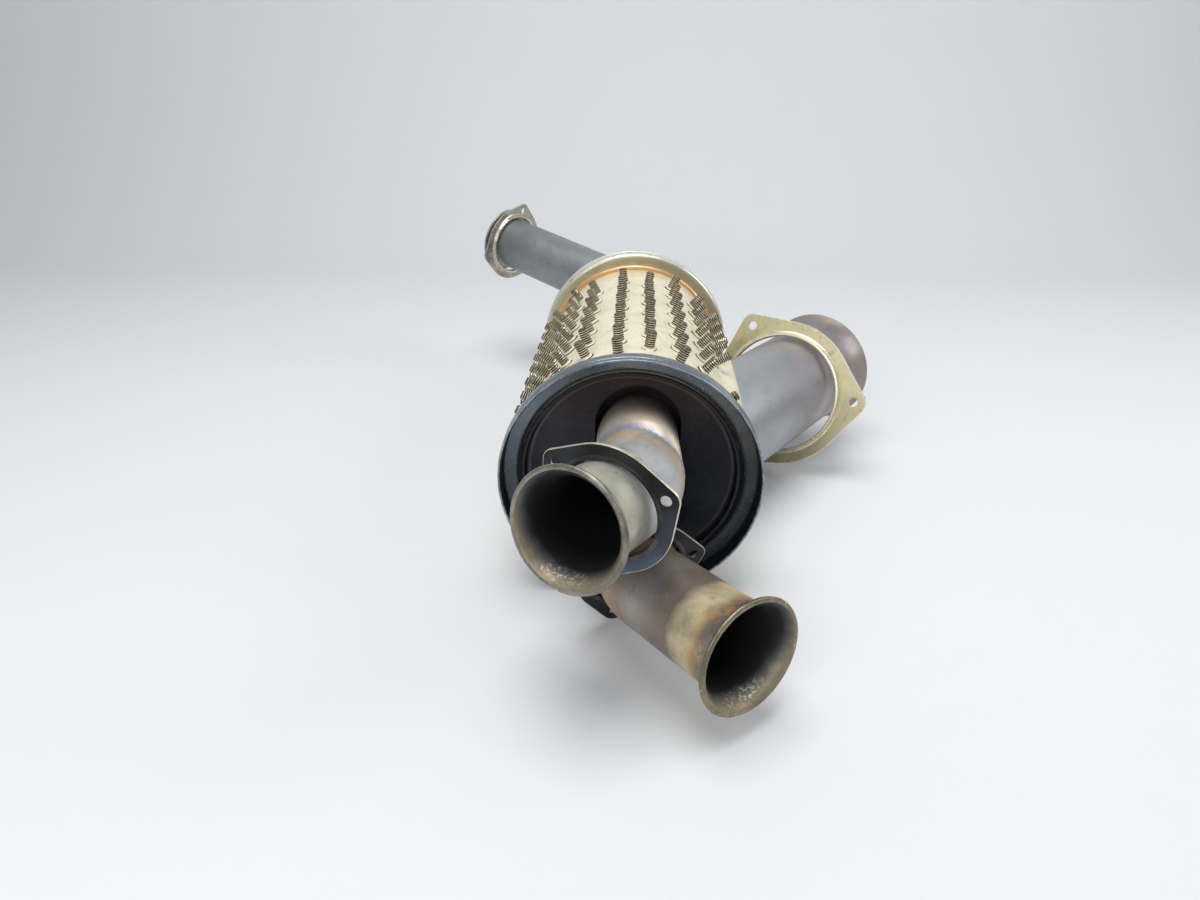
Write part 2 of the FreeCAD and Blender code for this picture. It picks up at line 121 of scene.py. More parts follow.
# Colours at stops in the value's own units.
def ramp(tree, value, stops):
    low, high = stops[0][0], stops[-1][0]
    spread = add(tree, "ShaderNodeMapRange", {"Value": value, "From Min": low, "From Max": high})
    made = add(tree, "ShaderNodeValToRGB", {"Fac": spread.outputs[0]})
    elements = made.color_ramp.elements
    while len(elements) < len(stops):
        elements.new(0.5)
    for element, (at, tone) in zip(elements, stops):
        element.position = (at - low) / (high - low)
        element.color = colour(tone) if isinstance(tone, tuple) else (tone, tone, tone, 1)
    return made.outputs["Color"]


def mix(tree, mask, first, second):
    made = add(tree, "ShaderNodeMix", data_type="RGBA")
    for index, value in ((0, mask), (6, first), (7, second)):
        if isinstance(value, bpy.types.NodeSocket):
            tree.links.new(value, made.inputs[index])
        else:
            made.inputs[index].default_value = value if index == 0 else colour(value)
    return made.outputs[2]


# A node group with inputs and outputs of these names: numbers, but for the vectors Point and Way.
def newGroup(name, inputs, outputs):
    group = bpy.data.node_groups.new(name, "ShaderNodeTree")
    for side, labels in (("INPUT", inputs), ("OUTPUT", outputs)):
        for label in labels:
            kind = "NodeSocketVector" if label in ("Point", "Way") else "NodeSocketFloat"
            group.interface.new_socket(label, in_out=side, socket_type=kind)
    return group, group.nodes.new("NodeGroupInput").outputs, group.nodes.new("NodeGroupOutput")


# patches: soft blotches of a size in mm, sharper or weaker as asked
patches, given, result = newGroup("patches", ["Size", "Level", "Softness", "Shift"], ["Mask"])
place = add(patches, "ShaderNodeTexCoord").outputs["Object"]
place = add(patches, "ShaderNodeVectorMath", {0: place, 1: given["Shift"]}, operation="ADD").outputs[0]
cloud = add(patches, "ShaderNodeTexNoise", {"Vector": place, "Detail": 5.0, "Roughness": 0.62,
                                            "Scale": math2(patches, "DIVIDE", 1000.0, given["Size"])})
edge = add(patches, "ShaderNodeMapRange", {
    "Value": cloud.outputs["Fac"],
    "From Min": math2(patches, "SUBTRACT", given["Level"], given["Softness"]),
    "From Max": math2(patches, "ADD", given["Level"], given["Softness"]),
})
patches.links.new(edge.outputs[0], result.inputs["Mask"])

# along: how far a point is from a plane, in mm, with a wavering edge
along, given, result = newGroup("along", ["Point", "Way", "Waver"], ["Distance"])
place = add(along, "ShaderNodeTexCoord").outputs["Object"]
step = add(along, "ShaderNodeVectorMath", {0: place, 1: given["Point"]}, operation="SUBTRACT").outputs[0]
flat = add(along, "ShaderNodeVectorMath", {0: step, 1: given["Way"]}, operation="DOT_PRODUCT")
cloud = add(along, "ShaderNodeTexNoise", {"Vector": place, "Scale": 90.0, "Detail": 3.0}).outputs["Fac"]
sway = times(along, math2(along, "SUBTRACT", cloud, 0.5), times(along, given["Waver"], 4.0))
total = math2(along, "ADD", times(along, flat.outputs["Value"], 1000.0), sway)
along.links.new(total, result.inputs["Distance"])

# aroundCan: how far a point is from the can's axis, in mm
aroundCan, given, result = newGroup("aroundCan", ["Waver"], ["Radius"])
place = add(aroundCan, "ShaderNodeTexCoord").outputs["Object"]
flat = add(aroundCan, "ShaderNodeVectorMath", {0: place, 1: (1000, 0, 1000)}, operation="MULTIPLY")
reach = add(aroundCan, "ShaderNodeVectorMath", {0: flat.outputs[0]}, operation="LENGTH").outputs["Value"]
cloud = add(aroundCan, "ShaderNodeTexNoise", {"Vector": place, "Scale": 60.0, "Detail": 3.0}).outputs["Fac"]
sway = times(aroundCan, math2(aroundCan, "SUBTRACT", cloud, 0.5), given["Waver"])
aroundCan.links.new(math2(aroundCan, "ADD", reach, sway), result.inputs["Radius"])

# skin: fine rolled grain with scratches and small pits, as one height
skin, given, result = newGroup("skin", ["Grain", "Pits", "Scratches"], ["Height", "Scratch"])
place = add(skin, "ShaderNodeTexCoord").outputs["Object"]
fine = add(skin, "ShaderNodeTexNoise", {"Vector": place, "Scale": 1400.0, "Detail": 3.0}).outputs["Fac"]
hollow = add(skin, "ShaderNodeTexNoise", {"Vector": place, "Scale": 420.0, "Detail": 2.0}).outputs["Fac"]
hollow = add(skin, "ShaderNodeMapRange", {"Value": hollow, "From Min": 0.60, "From Max": 0.72}).outputs[0]
turned = add(skin, "ShaderNodeMapping", {
    "Vector": place, "Rotation": (0.4, 0.9, 0.3), "Scale": (900.0, 60.0, 300.0),
}).outputs[0]
line = add(skin, "ShaderNodeTexNoise", {"Vector": turned, "Scale": 1.0, "Detail": 2.0}).outputs["Fac"]
line = add(skin, "ShaderNodeMapRange", {"Value": line, "From Min": 0.70, "From Max": 0.76}).outputs[0]
scratch = times(skin, line, given["Scratches"])
height = times(skin, fine, given["Grain"])
height = math2(skin, "SUBTRACT", height, times(skin, hollow, given["Pits"]))
height = math2(skin, "SUBTRACT", height, scratch)
skin.links.new(height, result.inputs["Height"])
skin.links.new(scratch, result.inputs["Scratch"])

# bright where the surface turns outwards sharply: worn metal with a painted highlight along the edge
edgeWearAndGlint, given, result = newGroup("edgeWearAndGlint", ["Start", "Full"], ["Mask"])
sharp = add(edgeWearAndGlint, "ShaderNodeNewGeometry").outputs["Pointiness"]
place = add(edgeWearAndGlint, "ShaderNodeTexCoord").outputs["Object"]
cloud = add(edgeWearAndGlint, "ShaderNodeTexNoise", {"Vector": place, "Scale": 260.0, "Detail": 4.0}).outputs["Fac"]
sharp = math2(edgeWearAndGlint, "ADD", sharp, times(edgeWearAndGlint, math2(edgeWearAndGlint, "SUBTRACT", cloud, 0.5), 0.06))
mask = add(edgeWearAndGlint, "ShaderNodeMapRange", {
    "Value": sharp, "From Min": given["Start"], "From Max": given["Full"],
})
edgeWearAndGlint.links.new(mask.outputs[0], result.inputs["Mask"])


def use(tree, group, **inputs):
    made = tree.nodes.new("ShaderNodeGroup")
    made.node_tree = group
    for key, value in inputs.items():
        made.inputs[key].default_value = value
    return made.outputs


# Millimetres past a plane through the point, measured along the way.
def distance(tree, point, way, waver):
    values = {"Point": Vector(point) * 0.001, "Way": Vector(way).normalized(), "Waver": waver}
    return use(tree, along, **values)["Distance"]


def blotch(tree, size, level=0.5, softness=0.08, shift=0.0):
    return use(tree, patches, Size=size, Level=level, Softness=softness, Shift=shift)["Mask"]


# paint(tree) gives the colour and, for a sooty finish, a mask of what is dull and not metallic.
def finish(name, paint, roughness, metallic, grain=0.4, pits=0.3, scratches=0.3, bump=0.12):
    made = bpy.data.materials.new(name)
    made.use_nodes = True
    tree = made.node_tree
    surface = tree.nodes["Principled BSDF"]
    painted = paint(tree)
    tone, dull = painted if isinstance(painted, tuple) else (painted, None)
    marks = use(tree, skin, Grain=grain, Pits=pits, Scratches=scratches)
    tone = mix(tree, marks["Scratch"], tone, (0.75, 0.76, 0.78))
    tree.links.new(tone, surface.inputs["Base Color"])
    rough = add(tree, "ShaderNodeMapRange", {"Value": blotch(tree, 18, shift=3.0), "To Min": roughness[0],
                                             "To Max": roughness[1]}).outputs[0]
    if dull is not None:
        rough = math2(tree, "MAXIMUM", rough, times(tree, dull, 0.85))
        metal = add(tree, "ShaderNodeMapRange", {"Value": dull, "To Min": metallic, "To Max": 0.0})
        tree.links.new(metal.outputs[0], surface.inputs["Metallic"])
    else:
        surface.inputs["Metallic"].default_value = metallic
    tree.links.new(rough, surface.inputs["Roughness"])
    raised = add(tree, "ShaderNodeBump", {"Strength": bump, "Distance": 0.001, "Height": marks["Height"]})
    tree.links.new(raised.outputs[0], surface.inputs["Normal"])
    return made


# Mesh building
# Ends a piece: into metres, smooth but for its sharp edges, and riding on the can.
# The faces that look along flat, or against it, are shaded flat.
def finishPiece(bm, name, materials, nodes, sharp, into=None, flat=None):
    bmesh.ops.transform(bm, matrix=toMetres @ (into or Matrix()), verts=bm.verts[:])
    bm.normal_update()
    for face in bm.faces:
        face.smooth = flat is None or abs(face.normal.dot(flat)) < 0.999
    for edge in bm.edges:
        edge.smooth = not (len(edge.link_faces) == 2 and edge.calc_face_angle(0) > math.radians(sharp))
    mesh = bpy.data.meshes.new(name)
    bm.to_mesh(mesh)
    bm.free()
    piece = bpy.data.objects.new(name, mesh)
    scene.collection.objects.link(piece)
    for material in materials:
        mesh.materials.append(material)
    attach(piece, "root")
    if nodes:
        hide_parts(*nodes)
    return piece


# Gives a skin its wall, inwards. inner counts on from the outside's material to the inside's.
def thicken(piece, wall, inner=0):
    made = piece.modifiers.new("wall", "SOLIDIFY")
    made.thickness, made.offset = wall * 0.001, -1
    made.material_offset = inner
    made.use_even_offset = True


def ease(piece, width, angle):
    made = piece.modifiers.new("edges", "BEVEL")
    made.width, made.segments = width * 0.001, 2
    made.limit_method, made.angle_limit = "ANGLE", math.radians(angle)


def vertsOf(parts):
    return [part for part in parts if isinstance(part, bmesh.types.BMVert)]


def edgesOf(parts):
    return [part for part in parts if isinstance(part, bmesh.types.BMEdge)]


# Moves the faces of another bmesh into this one.
def joinInto(bm, other):
    mesh = bpy.data.meshes.new("joined")
    other.to_mesh(mesh)
    other.free()
    bm.from_mesh(mesh)
    bpy.data.meshes.remove(mesh)


# Turns all faces so that this one looks outwards.
def facesOut(bm, face, outwards):
    bmesh.ops.recalc_face_normals(bm, faces=bm.faces[:])
    face.normal_update()
    if face.normal.dot(outwards) < 0:
        bmesh.ops.reverse_faces(bm, faces=bm.faces[:])


# Turns a profile of (radius, height) round Z.
def lathe(points, steps, closed=True):
    bm = bmesh.new()
    spots = [bm.verts.new((radius, 0, height)) for radius, height in points]
    for first, second in zip(spots, spots[1:] + (spots[:1] if closed else [])):
        bm.edges.new((first, second))
    bmesh.ops.spin(bm, geom=bm.verts[:] + bm.edges[:], cent=(0, 0, 0), axis=(0, 0, 1), angle=2 * math.pi,
                   steps=steps, use_merge=True, use_duplicate=False)
    bmesh.ops.remove_doubles(bm, verts=bm.verts[:], dist=0.001)
    bmesh.ops.recalc_face_normals(bm, faces=bm.faces[:])
    return bm


# The node's own shape, merged and without the lines inside its flat faces.
def cadCopy(node, materials, sharp=32):
    bm = bmesh.new()
    bm.from_mesh(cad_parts[node].data)
    bmesh.ops.remove_doubles(bm, verts=bm.verts[:], dist=0.000002)
    bmesh.ops.scale(bm, vec=(1000, 1000, 1000), verts=bm.verts[:])
    bmesh.ops.dissolve_limit(bm, angle_limit=math.radians(0.5), verts=bm.verts[:], edges=bm.edges[:])
    return finishPiece(bm, node.replace("_", "") + "Look", materials, [node], sharp)


# A ring of small overlapping ripples. slant is the normal of the plane it lies in.
def weldBead(name, into, weld, materials, slant=None, seed=1):
    radius, lumps = weld["radius"], weld["lumps"]
    bm = bmesh.new()
    ring = bmesh.ops.create_circle(bm, segments=8, radius=1)["verts"]
    bmesh.ops.scale(bm, vec=(weld["height"], weld["width"] / 2, 1), verts=ring)
    bmesh.ops.rotate(bm, matrix=Matrix.Rotation(math.pi / 2, 3, "X"), verts=ring)
    bmesh.ops.translate(bm, vec=(radius, 0, 0), verts=ring)
    bmesh.ops.spin(bm, geom=bm.verts[:] + bm.edges[:], cent=(0, 0, 0), axis=(0, 0, 1), angle=2 * math.pi,
                   steps=lumps * 4, use_merge=True, use_duplicate=False)
    for vert in bm.verts:
        turn = math.atan2(vert.co.y, vert.co.x)
        flat = Vector((vert.co.x, vert.co.y, 0))
        rise = flat.length - radius
        ripple = 0.75 + 0.25 * math.sin(turn * lumps + vert.co.z * 2.0)
        wander = noise.noise(flat * 0.09 + Vector((0, 0, seed)))
        swell = ripple + 0.35 * wander
        vert.co = flat.normalized() * (radius + rise * swell) + Vector((0, 0, vert.co.z * swell))
        vert.co.z += wander * 0.5
        if slant is not None:
            vert.co.z -= (vert.co.x * slant.x + vert.co.y * slant.y) / slant.z
    bmesh.ops.recalc_face_normals(bm, faces=bm.faces[:])
    return finishPiece(bm, name, materials, (), 70, into)


# Floor with a curved backdrop
def paperPaint(tree):
    shade = tuple(0.985 * part for part in studio["paper"])
    return mix(tree, blotch(tree, 300, softness=0.3), studio["paper"], shade)


paper = bpy.data.materials.new("paper")
paper.use_nodes = True
surface = paper.node_tree.nodes["Principled BSDF"]
paper.node_tree.links.new(paperPaint(paper.node_tree), surface.inputs["Base Color"])
surface.inputs["Roughness"].default_value = 0.8
bm = bmesh.new()
sides = (-studio["side"], studio["side"])
front = bm.edges.new([bm.verts.new((side, studio["front"], studio["floor"])) for side in sides])
grown = bmesh.ops.extrude_edge_only(bm, edges=[front])["geom"]
bmesh.ops.translate(bm, vec=(0, studio["bendAt"] - studio["front"], 0), verts=vertsOf(grown))
fold = [edge for edge in edgesOf(grown)
        if all(abs(vert.co.y - studio["bendAt"]) < 1e-6 for vert in edge.verts)]
grown = bmesh.ops.spin(bm, geom=fold + list(fold[0].verts), axis=(1, 0, 0), angle=math.pi / 2, steps=16,
                       cent=(0, studio["bendAt"], studio["floor"] + studio["bendRadius"]))["geom_last"]
grown = bmesh.ops.extrude_edge_only(bm, edges=edgesOf(grown))["geom"]
bmesh.ops.translate(bm, vec=(0, 0, studio["wallTop"]), verts=vertsOf(grown))
for face in bm.faces:
    face.smooth = True
mesh = bpy.data.meshes.new("floor")
bm.to_mesh(mesh)
bm.free()
floor = bpy.data.objects.new("floor", mesh)
mesh.materials.append(paper)
scene.collection.objects.link(floor)
floor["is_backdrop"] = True
world = bpy.data.worlds.new("room")
world.use_nodes = True
sky = world.node_tree.nodes["Background"]
sky.inputs["Color"].default_value = colour(studio["sky"])
sky.inputs["Strength"].default_value = studio["skyStrength"]
scene.world = world
print("stage and lights ready")


# Finishes
def creamPaint(tree):
    tone = mix(tree, blotch(tree, 26, 0.52, 0.14), (0.88, 0.82, 0.63), (0.79, 0.73, 0.55))
    tone = mix(tree, times(tree, blotch(tree, 5, 0.60, 0.06, 1.7), 0.3), tone, (0.50, 0.42, 0.30))
    fromFront = distance(tree, (0, 0, 0), (0, 1, 0), 0.6)
    glow = ramp(tree, fromFront, [(215, 0.0), (233, 0.25), (246, 0.75), (259, 0.8)])
    tone = mix(tree, glow, tone, (0.70, 0.46, 0.22))
    fromSeam = distance(tree, (0, 231, 0), (0, 1, 0), 0.05)
    seam = ramp(tree, fromSeam, [(-1.0, 0.0), (-0.4, 0.0), (0.0, 0.7), (0.4, 0.0), (1.0, 0.0)])
    return mix(tree, seam, tone, (0.25, 0.20, 0.14))


def collarPaint(tree):
    tone = mix(tree, blotch(tree, 14, 0.5, 0.15), (0.15, 0.18, 0.21), (0.21, 0.235, 0.26))
    # painted shade: the collar darkens towards the bottom, as if the lower part lay in shade
    height = distance(tree, (0, 0, 0), (0, 0, 1), 2.0)
    low = ramp(tree, height, [(-76, 0.95), (0, 0.8), (50, 0.2), (76, 0.0)])
    tone = mix(tree, low, tone, (0.035, 0.042, 0.052))
    # the lip line: edge wear with a painted light-blue highlight
    return mix(tree, use(tree, edgeWearAndGlint, Start=0.54, Full=0.60)["Mask"], tone, (0.62, 0.71, 0.78))


def rearCollarPaint(tree):
    reach = use(tree, aroundCan, Waver=1.2)["Radius"]
    # the pale band from 75 mm outwards is a painted highlight along the rolled bend and the lip
    tone = ramp(tree, reach, [
        (64, (0.72, 0.44, 0.18)), (67, (0.58, 0.40, 0.20)), (70, (0.40, 0.35, 0.21)),
        (73.5, (0.45, 0.42, 0.29)), (75, (0.74, 0.71, 0.58)), (78, (0.80, 0.78, 0.80)),
    ])
    return mix(tree, blotch(tree, 6, 0.62, 0.06, 5.0), tone, (0.45, 0.42, 0.33))


def platePaint(tree):
    tone = mix(tree, blotch(tree, 20, 0.5, 0.12), (0.008, 0.011, 0.019), (0.018, 0.021, 0.030))
    height = distance(tree, (0, 0, 0), (0, 0, 1), 3.0)
    brown = ramp(tree, height, [(0, 0.0), (25, 0.15), (60, 0.75), (70, 0.8)])
    tone = mix(tree, brown, tone, (0.045, 0.026, 0.020))
    specks = blotch(tree, 3.0, 0.70, 0.03, 9.0)
    tone = mix(tree, times(tree, specks, 0.35), tone, (0.16, 0.12, 0.09))
    # painted highlight: a pale ring along the plate's ridge
    reach = use(tree, aroundCan, Waver=0.4)["Radius"]
    rim = ramp(tree, reach, [(56, 0.0), (58.5, 0.0), (60, 0.35), (61.5, 0.0), (64, 0.0)])
    return mix(tree, rim, tone, (0.20, 0.20, 0.20))


def studPaint(tree):
    tone = mix(tree, blotch(tree, 6, 0.5, 0.12), (0.20, 0.165, 0.105), (0.095, 0.08, 0.06))
    return mix(tree, blotch(tree, 25, 0.55, 0.1, 2.0), tone, (0.25, 0.215, 0.15))


# Painted highlight: the thread crests are painted bright, as if lit from above.
def crestHighlightPaint(tree):
    return mix(tree, blotch(tree, 8, 0.5, 0.12), (0.90, 0.82, 0.64), (0.56, 0.49, 0.35))


# Painted shade: the thread flanks and the weld's outer foot are painted dark, as if in shade.
def rootShadePaint(tree):
    return mix(tree, blotch(tree, 8, 0.5, 0.12), (0.055, 0.044, 0.028), (0.095, 0.078, 0.052))


def darkFlangePaint(tree):
    # painted shade: the front flanges' faces are near-black, as they lie in shade
    tone = mix(tree, blotch(tree, 24, 0.5, 0.2), (0.020, 0.021, 0.024), (0.045, 0.047, 0.052))
    lower = distance(tree, (-5, -66, 12), (0.6, 0, -0.8), 3.0)
    outer = distance(tree, (0, -48, 0), (0, -1, 0), 0.5)  # past this plane lies the upper flange alone
    # painted reflection: bluish towards the lower right of the upper flange
    reflectedBlue = ramp(tree, lower, [(-10, 0.0), (12, 0.1), (32, 0.85), (50, 0.7)])
    reflectedBlue = times(tree, reflectedBlue, ramp(tree, outer, [(0, 0.0), (4, 1.0)]))
    return mix(tree, reflectedBlue, tone, (0.17, 0.25, 0.36))


# painted highlight along the flanges' thin cut edges; the rear flange's hub takes it too
def edgePaint(tree):
    return mix(tree, blotch(tree, 9, 0.5, 0.15), (0.78, 0.72, 0.58), (0.52, 0.47, 0.38))


# painted shade: the front flanges' hubs and bores are near-black
def hubPaint(tree):
    return mix(tree, blotch(tree, 11, 0.5, 0.15), (0.10, 0.10, 0.10), (0.04, 0.04, 0.042))


def paleFlangePaint(tree):
    tone = mix(tree, blotch(tree, 16, 0.5, 0.14), (0.50, 0.48, 0.42), (0.36, 0.35, 0.31))
    return mix(tree, blotch(tree, 7, 0.60, 0.07, 4.0), tone, (0.30, 0.24, 0.17))


def platedPaint(tree):
    tone = mix(tree, blotch(tree, 22, 0.5, 0.15), (0.66, 0.60, 0.38), (0.54, 0.49, 0.31))
    return mix(tree, blotch(tree, 6, 0.64, 0.06, 4.0), tone, (0.38, 0.33, 0.21))


def platedHubPaint(tree):
    return mix(tree, blotch(tree, 15, 0.5, 0.15), (0.84, 0.80, 0.62), (0.74, 0.68, 0.48))


def outletPaint(tree):
    back = distance(tree, outlet["mouth"], -outlet["way"], 3.0)
    tone = ramp(tree, back, [
        (0, (0.36, 0.31, 0.235)), (10, (0.30, 0.28, 0.26)), (24, (0.34, 0.33, 0.34)),
        (44, (0.26, 0.235, 0.245)), (60, (0.35, 0.315, 0.28)), (78, (0.345, 0.35, 0.365)),
        (125, (0.38, 0.40, 0.42)), (160, (0.41, 0.43, 0.45)),
    ])
    # painted shade: darker purplish grey on the pipe's lower side
    low = distance(tree, (0, 0, -16), (0.2, 0.1, -1), 5.0)
    low = ramp(tree, low, [(-38, 0.0), (0, 0.0), (14, 0.45), (26, 0.4), (38, 0.2)])
    tone = mix(tree, low, tone, (0.27, 0.235, 0.30))
    nearBell = ramp(tree, back, [(30, 0.7), (110, 0.05)])
    rust = times(tree, blotch(tree, 9, 0.60, 0.08, 7.0), nearBell)
    return mix(tree, rust, tone, (0.40, 0.29, 0.17))


def innerPaint(tree):
    return mix(tree, blotch(tree, 14, 0.5, 0.15), (0.05, 0.045, 0.04), (0.09, 0.075, 0.06))


outlet = {
    "way": Vector((0.589, 0.808, 0)).normalized(), "mouth": Vector((154.0, 243.1, -16.2)),
    "foot": [(39.9, 9.4), (40.1, 6.0), (40.9, 3.0), (42.6, 1.0), (45.0, 0.15), (47.2, -0.5)],  # radius, lift
    "footWall": 0.5,
}
# Name, paint, roughness from and to, metallic, then grain, pits, scratches and the bump's strength
cream = finish("creamSteel", creamPaint, (0.40, 0.58), 0.25, 0.5, 0.2, 0.12, 0.10)
collarSteel = finish("collarSteel", collarPaint, (0.22, 0.36), 0.85)
rearCollarSteel = finish("rearCollarSteel", rearCollarPaint, (0.28, 0.45), 0.6)
sootyPlate = finish("sootyPlate", platePaint, (0.28, 0.48), 0.55, 0.6, 0.5, 0.05, 0.15)
studSteel = finish("studSteel", studPaint, (0.30, 0.50), 0.8, 0.3, 0.3, 0.0, 0.10)
crestHighlightSteel = finish("crestHighlightSteel", crestHighlightPaint, (0.25, 0.40), 0.85, 0.2, 0.2, 0.0, 0.05)
rootShadeSteel = finish("rootShadeSteel", rootShadePaint, (0.5, 0.7), 0.3, 0.3, 0.3, 0.0, 0.10)
darkFlange = finish("darkFlange", darkFlangePaint, (0.26, 0.42), 0.8, 0.4, 0.2, 0.08, 0.08)
brightEdge = finish("brightEdge", edgePaint, (0.25, 0.40), 0.85, 0.3, 0.2, 0.0, 0.05)
darkHub = finish("darkHub", hubPaint, (0.28, 0.45), 0.85)
paleFlange = finish("paleFlange", paleFlangePaint, (0.30, 0.50), 0.75)
platedSteel = finish("platedSteel", platedPaint, (0.28, 0.42), 0.6, 0.3, 0.15, 0.15, 0.08)
platedHub = finish("platedHub", platedHubPaint, (0.24, 0.36), 0.65, 0.3, 0.15, 0.0, 0.05)
outletSteel = finish("outletSteel", outletPaint, (0.36, 0.50), 0.6, 0.35, 0.2, 0.3, 0.08)
sootyInside = finish("sootyInside", innerPaint, (0.65, 0.85), 0.2, 0.8, 0.6, 0.0, 0.25)
print("finishes ready")

# The can: collars, end plates, shell
can = {"length": 259.0, "shell": 64.5, "sheet": 1.2, "collar": 76.2, "collarDepth": 12.0, "hub": 5.0}
frontEnd = axesAt((0, 0, 0), (0, 1, 0))
rearEnd = axesAt((0, can["length"], 0), (0, -1, 0))


def collar(name, node, into, materials):
    rim, deep = can["collar"], can["collarDepth"]
    back, inner = deep + can["sheet"], rim - can["sheet"]
    outerHub, innerHub = can["shell"] + can["sheet"], can["shell"]
    bm = lathe([
        # the rim's outside with its drawn line, and the outer bend into the web
        (rim - 0.25, 0.0), (rim - 0.05, 0.3), (rim, 0.9), (rim, 3.4), (rim - 0.35, 3.8),
        (rim - 0.35, 4.1), (rim, 4.5), (rim, deep - 2.4), (rim - 0.27, deep - 1.02),
        (rim - 1.05, deep + 0.13), (rim - 2.2, deep + 0.9), (rim - 3.6, back),
        # the bend into the hub, its end, and the same bend inside
        (outerHub + 2.4, back), (outerHub + 1.2, back + 0.32), (outerHub + 0.32, back + 1.2),
        (outerHub, back + 2.4), (outerHub, back + can["hub"]), (innerHub + 0.05, back + can["hub"]),
        (innerHub + 0.05, deep + 3.6), (innerHub + 0.27, deep + 2.2), (innerHub + 1.05, deep + 1.05),
        (innerHub + 2.2, deep + 0.27), (innerHub + 3.6, deep),
        # the web's other face and the inside of the rim
        (inner - 2.4, deep), (inner - 1.2, deep - 0.32), (inner - 0.32, deep - 1.2),
        (inner, deep - 2.4), (inner, 5.6), (inner - 0.5, 5.1), (inner - 0.6, 1.0), (inner - 0.4, 0.3),
        (inner, 0.0),
    ], 144)
    return finishPiece(bm, name, materials, [node], 30, into)


collar("frontCollar", "front_collar", frontEnd, [collarSteel])
collar("rearCollar", "rear_collar", rearEnd, [rearCollarSteel])
cadCopy("front_end_plate", [sootyPlate])
cadCopy("rear_end_plate", [sootyPlate])
cadCopy("can_shell", [cream])
edgeWeld = {"deep": 11.9, "radius": 63.9, "width": 1.6, "height": 0.5, "lumps": 96}
for name, end in (("frontEdgeWeld", frontEnd), ("rearEdgeWeld", rearEnd)):
    into = end @ Matrix.Translation((0, 0, edgeWeld["deep"]))
    weldBead(name, into, edgeWeld, [sootyPlate])
print("can ready")

# Studs: threaded, each in its ring of weld. seen holds the angles of the rows in view, in degrees from the
# top, and hidden says how many rows go on below. The shell is bare where a stud would meet the outlet.
studs = {
    "radius": 3.175, "root": 2.55, "height": 11.3, "threads": 7, "sides": 12, "lean": 1.6,
    "pitch": 23.0, "start": 41.3, "drift": 0.09,
    "seen": [-66.1, -53.5, -39.0, -25.3, -7.4, 8.5, 24.8, 41.5, 59.5], "hidden": 15,
    "bareAngles": (55, 150), "bareFront": 105, "neckClear": 46,
    "loneAngle": 53.4, "loneFrom": 30.0, "seed": 7,
    "weld": [(4.75, -0.5), (4.65, 0.3), (4.3, 0.45), (3.9, 0.95), (3.3, 1.15), (2.3, 1.2), (2.3, -0.5)],
}


# One stud standing on Z with its foot at 0.
def stud():
    turns, top = studs["threads"], studs["height"]
    points = [(0.0, -0.6), (studs["root"], -0.6), (studs["root"], 1.0)]
    pitch = (top - 1.5) / turns
    for thread in range(turns):
        low = 1.0 + pitch * thread
        points += [(studs["radius"], low + pitch * 0.24), (studs["radius"], low + pitch * 0.62)]
        points += [(studs["root"], low + pitch)]
    points += [(studs["root"] * 0.93, top), (0.0, top)]
    bm = lathe(points, studs["sides"], closed=False)
    for face in bm.faces:
        if 1.0 < face.calc_center_median().z < top - 0.6:
            face.material_index = 2 if abs(face.normal.z) < 0.1 else 3  # painted highlight on the crests, painted shade on the flanks
    ring = lathe(studs["weld"], studs["sides"])
    for vert in ring.verts:
        if vert.co.z > 0 and vert.co.xy.length > 3:
            vert.co *= 1 + 0.10 * noise.noise(vert.co * 0.9)
    for face in ring.faces:
        # the weld's outer foot takes the flanks' painted shade where it meets the shell
        face.material_index = 3 if face.calc_center_median().xy.length > 4.3 else 1
    joinInto(bm, ring)
    mesh = bpy.data.meshes.new("oneStud")
    bm.to_mesh(mesh)
    bm.free()
    return mesh


# Whether a stud at this angle from the top, this far from the front, misses the outlet and its bare patch.
def clearOfOutlet(angle, fromFront):
    if not studs["bareAngles"][0] < angle < studs["bareAngles"][1]:
        return True
    turn = math.radians(angle)
    for reach in (can["shell"], can["shell"] + studs["height"]):
        spot = Vector((math.sin(turn) * reach, fromFront, math.cos(turn) * reach)) - outlet["mouth"]
        if (spot - outlet["way"] * spot.dot(outlet["way"])).length <= studs["neckClear"]:
            return False
    return fromFront > studs["bareFront"]


def studRow(name, node, angle, spots, chance):
    bm = bmesh.new()
    turn = Matrix.Rotation(math.radians(angle), 4, "Y")
    for fromFront in spots:
        before = len(bm.verts)
        bm.from_mesh(oneStud)
        bm.verts.ensure_lookup_table()
        lean = Matrix.Rotation(math.radians(chance.gauss(0, studs["lean"])), 4, "X")
        lean = lean @ Matrix.Rotation(math.radians(chance.gauss(0, studs["lean"])), 4, "Y")
        lean = lean @ Matrix.Rotation(chance.uniform(0, 6.28), 4, "Z")
        tall = Matrix.Scale(1 - 0.03 * chance.random(), 4, (0, 0, 1))
        place = turn @ Matrix.Translation((0, fromFront, can["shell"])) @ lean @ tall
        bmesh.ops.transform(bm, matrix=place, verts=bm.verts[before:])
    finishPiece(bm, name, [studSteel, cream, crestHighlightSteel, rootShadeSteel], [node], 30)


